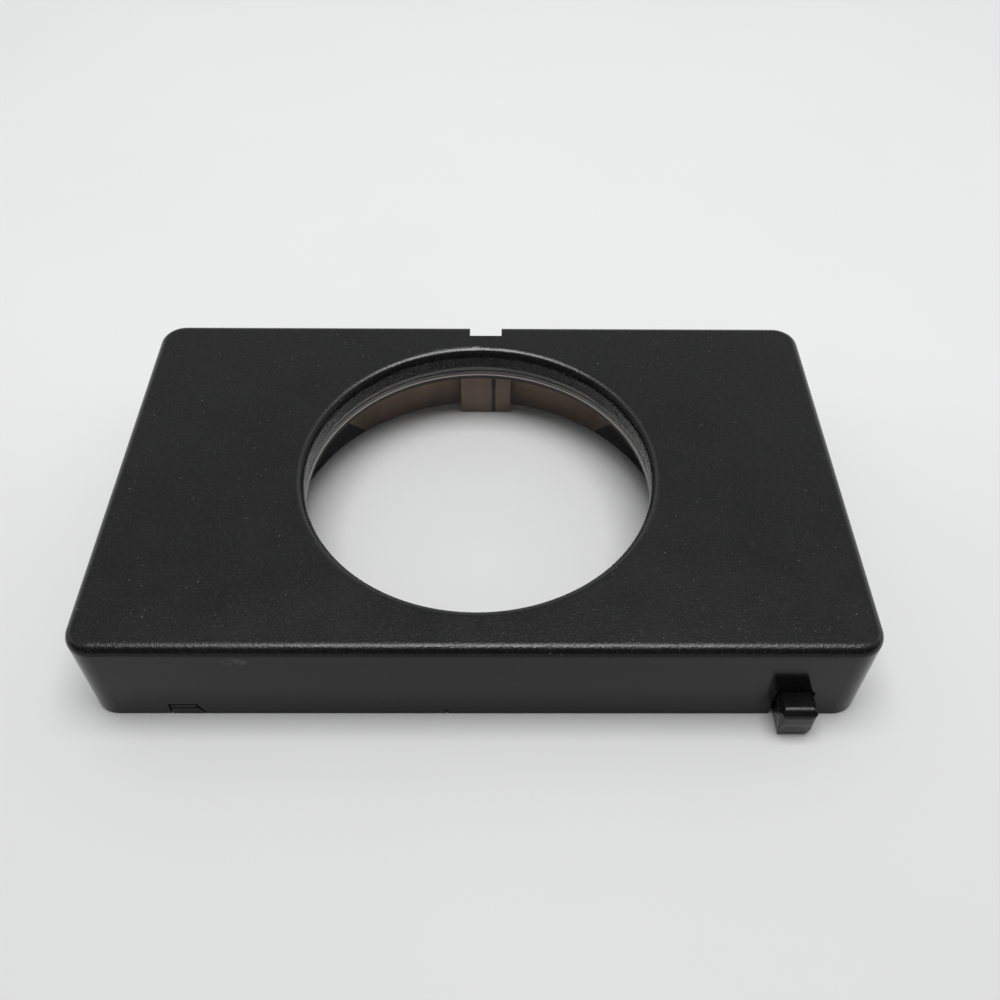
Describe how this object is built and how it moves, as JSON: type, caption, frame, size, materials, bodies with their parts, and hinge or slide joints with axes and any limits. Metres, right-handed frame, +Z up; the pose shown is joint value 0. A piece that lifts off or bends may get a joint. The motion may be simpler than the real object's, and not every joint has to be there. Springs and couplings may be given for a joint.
{
  "type": "negative carrier",
  "caption": "Glass negative carrier for square roll-film frames: a low frame with a light well and a deep hinged lid with a round glazed window and a lock knob.",
  "frame": {"origin": "on the resting face, under the axis of the round window, at the middle of the bounding box", "axes": "+X along the width, to the right when the lock knob faces the user; +Y from the knob side towards the hinge; +Z up along the axis of the window"},
  "size_m": [0.166, 0.112, 0.0246],
  "materials": {
    "black_housing": "fine-grained black moulding",
    "black_frame": "satin black moulding",
    "bronze": "dark bronze, satin",
    "black_metal": "matt black lacquer",
    "clear_glass": "clear, ground edge",
    "steel": "zinc-plated",
    "brass": "turned",
    "knob_plastic": "semi-gloss black"
  },
  "bodies": {
    "lower_frame": {"lower_frame": "black_frame", "bronze_strip_left": "bronze", "bronze_strip_right": "bronze", "film_stage": "black_metal", "lower_glass": "clear_glass", "stage_screws": "steel", "film_guide_pins": "brass", "hinge_pin_left": "steel", "hinge_pin_right": "steel", "lock_bridge": "steel", "lock_bridge_screws": "steel", "detent_spring": "steel"},
    "lid": {"upper_housing": "black_housing", "upper_glass": "clear_glass", "glass_retainer": "black_metal", "retainer_screws": "steel", "lock_keeper": "steel", "keeper_screws": "steel"},
    "lock": {"lock_knob": "knob_plastic", "lock_slide": "steel", "knob_pin": "steel"}
  },
  "joints": [
    {"name": "lid_hinge", "type": "hinge", "parent": "lower_frame", "child": "lid", "pos_m": [0, 0.0536, 0.0026], "axis": [-1, 0, 0], "range_deg": [0, 95]},
    {"name": "lock_push", "type": "slide", "parent": "lower_frame", "child": "lock", "axis": [0, 1, 0], "range_m": [0, 0.003]}
  ]
}
